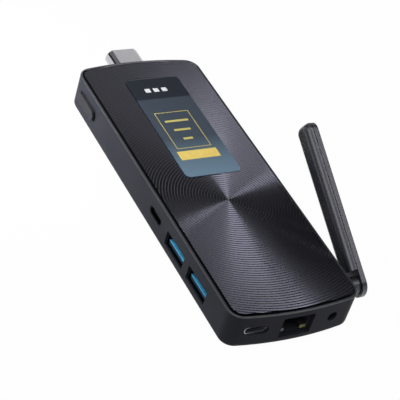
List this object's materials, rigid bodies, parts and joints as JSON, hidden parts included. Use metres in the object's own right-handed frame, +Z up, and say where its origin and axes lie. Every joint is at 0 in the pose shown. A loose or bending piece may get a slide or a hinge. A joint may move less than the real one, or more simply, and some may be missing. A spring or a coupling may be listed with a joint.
{
  "type": "stick computer",
  "caption": "Slim rounded stick computer with a ringed top plate, a video plug on one end, side and end ports, a power button and a folding flat antenna on one side.",
  "frame": {"origin": "middle of the case's flat underside", "axes": "+Z up out of the ringed top plate, +Y along the case towards the video plug, +X across it towards the antenna"},
  "size_m": [0.0605, 0.1536, 0.0411],
  "materials": {
    "shell_plastic": "fine satin moulded",
    "cover_plastic": "turned rings, satin",
    "label_film": "printed film, satin",
    "board_laminate": "solder resist, satin",
    "chip_resin": "matte moulded",
    "processor_resin": "satin laminate with polished die",
    "pad_silicone": "matte",
    "sink_aluminium": "extruded, satin",
    "screw_steel": "zinc plated",
    "insert_brass": "turned",
    "connector_steel": "nickel plated, rolled",
    "connector_plastic": "moulded",
    "tongue_plastic": "moulded",
    "contact_gold": "gold plated",
    "lamp_plastic": "clear, tinted",
    "coil_ferrite": "pressed",
    "cell_steel": "stamped",
    "lead_jacket": "smooth",
    "button_plastic": "satin moulded",
    "light_plastic": "clear, frosted",
    "antenna_plastic": "satin moulded",
    "element_copper": "etched copper"
  },
  "bodies": {
    "case": {"lower_shell": "shell_plastic", "top_cover": "cover_plastic", "cover_label": "label_film", "main_board": "board_laminate", "cover_screws": "screw_steel", "board_screws": "screw_steel", "sink_screws": "screw_steel", "bracket_inserts": "insert_brass", "processor": "processor_resin", "thermal_pad": "pad_silicone", "heat_sink": "sink_aluminium", "memory_chips": "chip_resin", "storage_chip": "chip_resin", "power_coils": "coil_ferrite", "battery_holder": "connector_plastic", "clock_battery": "cell_steel", "radio_module": "board_laminate", "radio_shield": "connector_steel", "lead_plug": "contact_gold", "antenna_lead": "lead_jacket", "usb_a_shell_1": "connector_steel", "usb_a_shell_2": "connector_steel", "usb_a_tongue_1": "tongue_plastic", "usb_a_tongue_2": "tongue_plastic", "usb_a_contacts_1": "contact_gold", "usb_a_contacts_2": "contact_gold", "usb_c_shell_side": "connector_steel", "usb_c_shell_end": "connector_steel", "usb_c_tongue_side": "connector_plastic", "usb_c_tongue_end": "connector_plastic", "ethernet_shield": "connector_steel", "ethernet_body": "connector_plastic", "ethernet_contacts": "contact_gold", "ethernet_lamps": "lamp_plastic", "audio_jack": "connector_plastic", "audio_ring": "connector_steel", "plug_shell": "connector_steel", "plug_block": "connector_plastic", "plug_contacts": "contact_gold", "power_switch": "chip_resin", "status_lamp": "light_plastic", "antenna_hub": "antenna_plastic", "antenna_pin": "screw_steel", "antenna_clip": "screw_steel", "antenna_washer": "screw_steel"},
    "button": {"power_button": "button_plastic", "button_light": "light_plastic", "switch_plunger": "connector_plastic"},
    "antenna": {"antenna_paddle": "antenna_plastic", "antenna_back_cover": "antenna_plastic", "antenna_element": "element_copper"}
  },
  "joints": [
    {"name": "antenna_fold", "type": "hinge", "parent": "case", "child": "antenna", "pos_m": [0.0312, -0.0582, 0.0094], "axis": [1, 0, 0], "range_deg": [-27.8, 152.2]},
    {"name": "power_press", "type": "slide", "parent": "case", "child": "button", "axis": [1, 0, 0], "range_m": [0, 0.00035], "stiffness_N_per_m": 1500, "springref_m": -0.0004}
  ]
}
